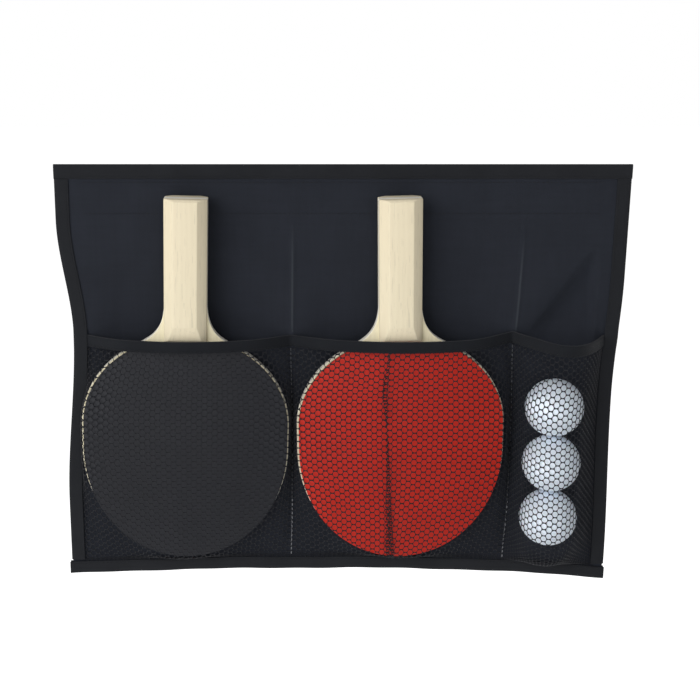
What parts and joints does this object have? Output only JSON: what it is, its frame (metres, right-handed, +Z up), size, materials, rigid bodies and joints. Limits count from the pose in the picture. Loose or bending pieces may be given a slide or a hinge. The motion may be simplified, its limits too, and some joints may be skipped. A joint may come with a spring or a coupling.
{
  "type": "table tennis bat and ball holder",
  "caption": "Hanging cloth holder with net pockets for table tennis bats and a column of balls, fixed to a table's frame by hook-and-loop tape.",
  "frame": {"origin": "centre of the hook tape's adhesive back face, on the face of the table's frame", "axes": "+X to the right along the tape, +Y into the table's frame, +Z up; the pockets open upwards and face -Y"},
  "size_m": [0.3902, 0.048, 0.3017],
  "materials": {
    "hook_tape": "moulded hooks on a woven ground, adhesive back",
    "loop_tape": "soft loop pile",
    "panel_cloth": "plain-woven polyester, two layers",
    "binding": "ribbed woven tape",
    "net": "warp-knitted hexagonal mesh",
    "blade_wood": "bare plywood, sanded edge",
    "handle_wood": "planed, smooth",
    "sponge": "fine closed cells",
    "black_rubber": "smooth, dull",
    "red_rubber": "smooth, dull",
    "ball": "fine matte"
  },
  "bodies": {
    "table_tape": {"hook_tape": "hook_tape"},
    "holder": {"loop_tape": "loop_tape", "back_panel": "panel_cloth", "top_binding": "binding", "left_binding": "binding", "right_binding": "binding", "bottom_binding": "binding", "left_bat_net": "net", "middle_bat_net": "net", "ball_net": "net", "pocket_band": "binding"},
    "black_bat": {"black_bat_blade": "blade_wood", "black_bat_front_grip": "handle_wood", "black_bat_back_grip": "handle_wood", "black_bat_front_sponge": "sponge", "black_bat_front_rubber": "black_rubber", "black_bat_back_sponge": "sponge", "black_bat_back_rubber": "red_rubber"},
    "red_bat": {"red_bat_blade": "blade_wood", "red_bat_front_grip": "handle_wood", "red_bat_back_grip": "handle_wood", "red_bat_front_sponge": "sponge", "red_bat_front_rubber": "red_rubber", "red_bat_back_sponge": "sponge", "red_bat_back_rubber": "black_rubber"},
    "bottom_ball": {"bottom_ball": "ball"},
    "middle_ball": {"middle_ball": "ball"},
    "top_ball": {"top_ball": "ball"}
  },
  "joints": [
    {"name": "holder_pull", "type": "slide", "parent": "table_tape", "child": "holder", "axis": [0, -1, 0], "range_m": [0, 0.06]},
    {"name": "black_bat_slide", "type": "slide", "parent": "holder", "child": "black_bat", "axis": [0, -0.0342, 0.9994], "range_m": [0, 0.165]},
    {"name": "red_bat_slide", "type": "slide", "parent": "holder", "child": "red_bat", "axis": [0, -0.0342, 0.9994], "range_m": [0, 0.165]},
    {"name": "bottom_ball_slide", "type": "slide", "parent": "holder", "child": "bottom_ball", "axis": [0, 0, 1], "range_m": [0, 0.15]},
    {"name": "middle_ball_slide", "type": "slide", "parent": "bottom_ball", "child": "middle_ball", "axis": [0, 0, 1], "range_m": [0, 0.11]},
    {"name": "top_ball_slide", "type": "slide", "parent": "middle_ball", "child": "top_ball", "axis": [0, 0, 1], "range_m": [0, 0.07]}
  ]
}
